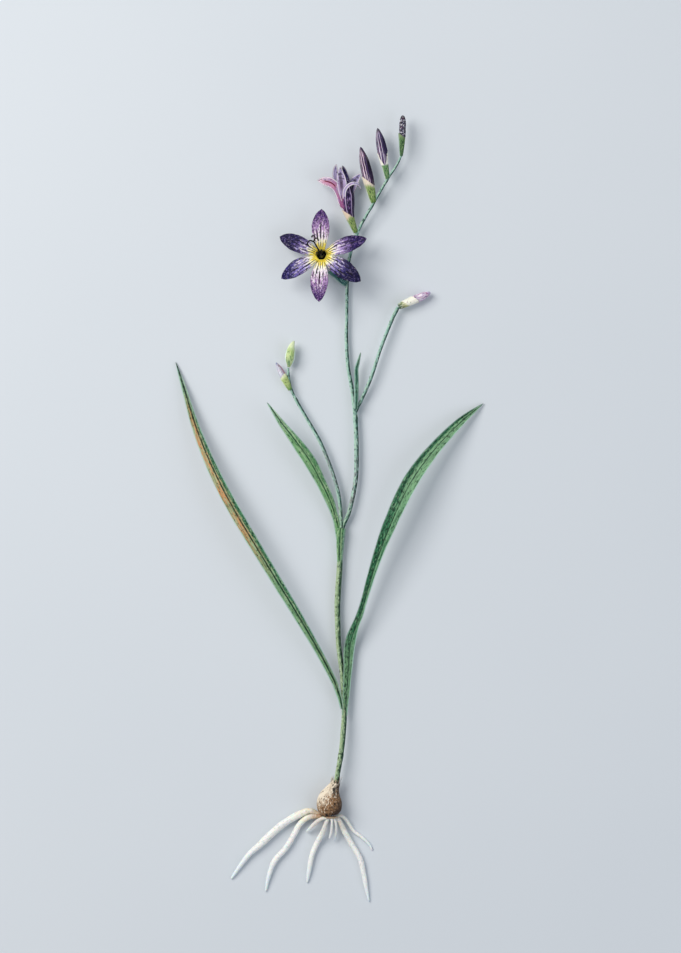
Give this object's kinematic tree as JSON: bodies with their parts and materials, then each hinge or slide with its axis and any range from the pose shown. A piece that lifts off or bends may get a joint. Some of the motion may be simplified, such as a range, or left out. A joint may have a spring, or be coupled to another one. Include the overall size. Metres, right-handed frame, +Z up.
{
  "type": "ixia plant with corm and roots",
  "caption": "Whole slender flowering corm plant lying flat: corm with white roots, sword-shaped leaves, branched stem, one open star-shaped flower, one opening flower and buds.",
  "frame": {"origin": "middle of the small flat spot under the corm, on the surface that the plant lies on", "axes": "+Y runs along the plant from the corm towards the flowers; +X is to the right and +Z is up, towards someone who looks down on the plant"},
  "size_m": [0.1238, 0.3148, 0.015],
  "materials": {
    "tunic": "matte",
    "root": "satin",
    "stem": "satin",
    "leaf": "satin",
    "bract": "satin",
    "pale_bract": "satin",
    "tepal": "matte",
    "bud": "matte",
    "anther": "matte",
    "style": "matte"
  },
  "bodies": {
    "root": {"corm": "tunic", "roots": "root", "stem": "stem", "long_left_leaf": "leaf", "broad_right_leaf": "leaf", "upper_left_leaf": "leaf", "bract_leaf": "leaf", "open_flower_perianth": "tepal", "open_flower_stamens": "anther", "open_flower_style": "style", "open_flower_bract": "bract", "half_open_flower_perianth": "tepal", "half_open_flower_bract": "bract", "closed_left_bud": "bract", "spike_bud_1_corolla": "bud", "spike_bud_1_bract": "bract", "spike_bud_2_corolla": "bud", "spike_bud_2_bract": "bract", "spike_bud_3_corolla": "bud", "spike_bud_3_bract": "bract", "right_bud_corolla": "bud", "right_bud_bract": "pale_bract", "left_bud_corolla": "bud", "left_bud_bract": "bract"}
  },
  "joints": []
}
